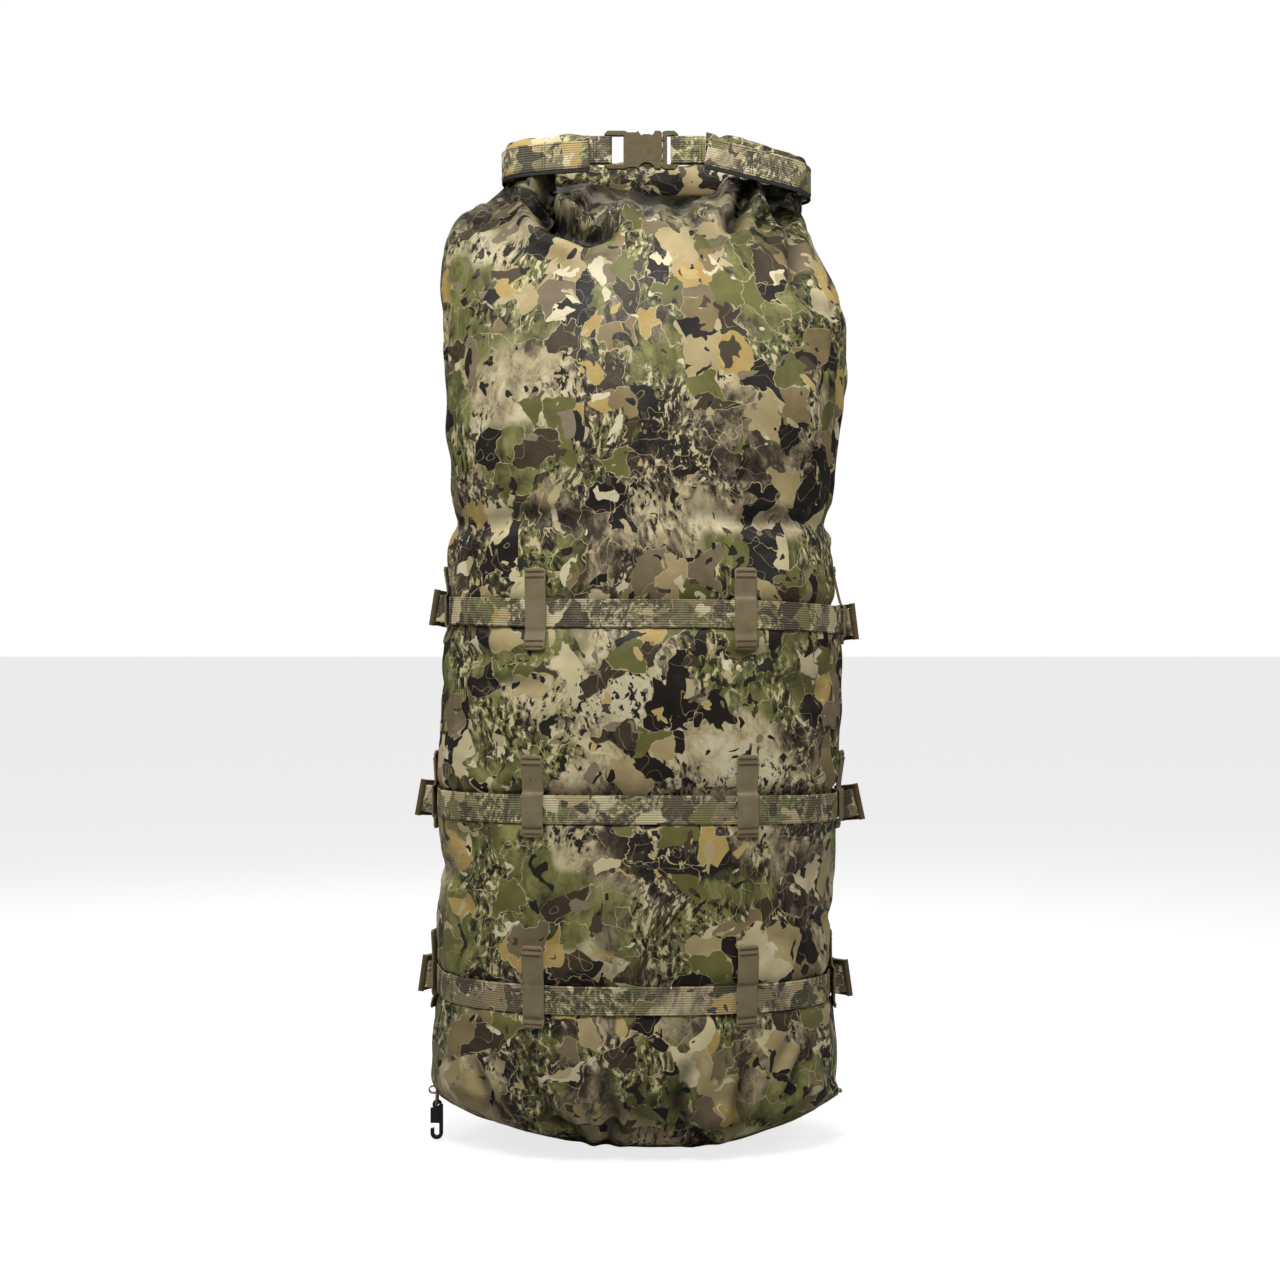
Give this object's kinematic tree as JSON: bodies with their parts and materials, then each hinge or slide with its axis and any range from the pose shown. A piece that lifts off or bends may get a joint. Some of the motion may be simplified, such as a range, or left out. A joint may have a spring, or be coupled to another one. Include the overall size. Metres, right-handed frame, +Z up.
{
  "type": "roll-top stuff sack",
  "caption": "Tall roll-top stuff sack in camouflage coated fabric with a side release buckle, compression straps, keeper loops and a small gear hook.",
  "frame": {"origin": "on the floor under the middle of the stuffed sack, on the bottom seam line", "axes": "+Z up the sack to its rolled mouth; the front with the buckle faces -Y; +X to the right seen from the front"},
  "size_m": [0.4209, 0.2938, 0.92],
  "materials": {
    "camo_fabric": "satin coated woven nylon with a printed camouflage",
    "camo_webbing": "ribbed woven webbing with a printed camouflage",
    "keeper_rubber": "matte rubber-coated fabric",
    "coyote_plastic": "matte moulded acetal",
    "coyote_cord": "braided cord",
    "black_binding": "matte woven binding",
    "black_plastic": "matte moulded nylon",
    "stiffener": "plain plastic strip",
    "seam_tape": "semi-gloss heat-welded tape"
  },
  "bodies": {
    "sack": {"front_panel": "camo_fabric", "back_panel": "camo_fabric", "neck": "camo_fabric", "side_seam_tape_left": "seam_tape", "side_seam_tape_right": "seam_tape", "bottom_seam_tape": "seam_tape", "strap_front_low": "camo_webbing", "strap_front_mid": "camo_webbing", "strap_front_top": "camo_webbing", "strap_back_low": "camo_webbing", "strap_back_mid": "camo_webbing", "strap_back_top": "camo_webbing", "front_loop_low_left": "keeper_rubber", "front_loop_mid_left": "keeper_rubber", "front_loop_top_left": "keeper_rubber", "front_loop_low_right": "keeper_rubber", "front_loop_mid_right": "keeper_rubber", "front_loop_top_right": "keeper_rubber", "side_loop_low_left": "keeper_rubber", "side_loop_mid_left": "keeper_rubber", "side_loop_top_left": "keeper_rubber", "side_loop_low_right": "keeper_rubber", "side_loop_mid_right": "keeper_rubber", "side_loop_top_right": "keeper_rubber", "back_loop_low_left": "keeper_rubber", "back_loop_mid_left": "keeper_rubber", "back_loop_top_left": "keeper_rubber", "back_loop_low_right": "keeper_rubber", "back_loop_mid_right": "keeper_rubber", "back_loop_top_right": "keeper_rubber", "corner_loop_left": "camo_webbing", "corner_loop_right": "camo_webbing"},
    "roll_top": {"rolled_mouth": "camo_fabric", "mouth_stiffener": "stiffener", "mouth_binding": "black_binding", "mouth_webbing_left": "camo_webbing", "mouth_webbing_right": "camo_webbing", "buckle_webbing_left": "camo_webbing", "buckle_webbing_right": "camo_webbing", "buckle_female": "coyote_plastic"},
    "buckle_male": {"buckle_male": "coyote_plastic"},
    "latch_upper": {"latch_upper": "coyote_plastic"},
    "latch_lower": {"latch_lower": "coyote_plastic"},
    "cord_ring": {"corner_cord": "coyote_cord"},
    "gear_hook": {"corner_hook": "black_plastic"},
    "lock_low_left": {"ladder_lock_low_left": "coyote_plastic", "strap_tail_low_left": "camo_webbing"},
    "lock_mid_left": {"ladder_lock_mid_left": "coyote_plastic", "strap_tail_mid_left": "camo_webbing"},
    "lock_top_left": {"ladder_lock_top_left": "coyote_plastic", "strap_tail_top_left": "camo_webbing"},
    "lock_low_right": {"ladder_lock_low_right": "coyote_plastic", "strap_tail_low_right": "camo_webbing"},
    "lock_mid_right": {"ladder_lock_mid_right": "coyote_plastic", "strap_tail_mid_right": "camo_webbing"},
    "lock_top_right": {"ladder_lock_top_right": "coyote_plastic", "strap_tail_top_right": "camo_webbing"}
  },
  "joints": [
    {"name": "neck_tilt", "type": "hinge", "parent": "sack", "child": "roll_top", "pos_m": [0, -0.025, 0.852], "axis": [1, 0, 0], "range_deg": [-25, 25], "deforming": ["neck"]},
    {"name": "buckle_release", "type": "slide", "parent": "roll_top", "child": "buckle_male", "axis": [1, 0, 0], "range_m": [0, 0.022], "deforming": ["buckle_webbing_right"]},
    {"name": "squeeze_upper", "type": "hinge", "parent": "buckle_male", "child": "latch_upper", "pos_m": [0.0222, -0.052, 0.9115], "axis": [0, -1, 0], "range_deg": [0, 7], "stiffness_Nm_per_rad": 1.2},
    {"name": "squeeze_lower", "type": "hinge", "parent": "buckle_male", "child": "latch_lower", "pos_m": [0.0222, -0.052, 0.8925], "axis": [0, 1, 0], "range_deg": [0, 7], "stiffness_Nm_per_rad": 1.2},
    {"name": "lift_low_left", "type": "hinge", "parent": "sack", "child": "lock_low_left", "pos_m": [-0.195, 0.034, 0.146], "axis": [-0.1392, 0, -0.9903], "range_deg": [0, 25]},
    {"name": "lift_mid_left", "type": "hinge", "parent": "sack", "child": "lock_mid_left", "pos_m": [-0.192, 0.034, 0.309], "axis": [-0.1736, 0, -0.9848], "range_deg": [0, 25]},
    {"name": "lift_top_left", "type": "hinge", "parent": "sack", "child": "lock_top_left", "pos_m": [-0.183, 0.034, 0.487], "axis": [-0.1564, 0, -0.9877], "range_deg": [0, 25]},
    {"name": "lift_low_right", "type": "hinge", "parent": "sack", "child": "lock_low_right", "pos_m": [0.183, 0.034, 0.141], "axis": [-0.1392, 0, 0.9903], "range_deg": [0, 25]},
    {"name": "lift_mid_right", "type": "hinge", "parent": "sack", "child": "lock_mid_right", "pos_m": [0.189, 0.034, 0.304], "axis": [-0.2079, 0, 0.9781], "range_deg": [0, 25]},
    {"name": "lift_top_right", "type": "hinge", "parent": "sack", "child": "lock_top_right", "pos_m": [0.189, 0.034, 0.474], "axis": [-0.1219, 0, 0.9925], "range_deg": [0, 25]},
    {"name": "cord_swing", "type": "hinge", "parent": "sack", "child": "cord_ring", "pos_m": [-0.1855, -0.034, 0.0468], "axis": [0, 1, 0], "range_deg": [-10, 35]},
    {"name": "hook_swing", "type": "hinge", "parent": "cord_ring", "child": "gear_hook", "pos_m": [-0.1855, -0.034, 0.0334], "axis": [0, 1, 0], "range_deg": [-10, 35]}
  ]
}
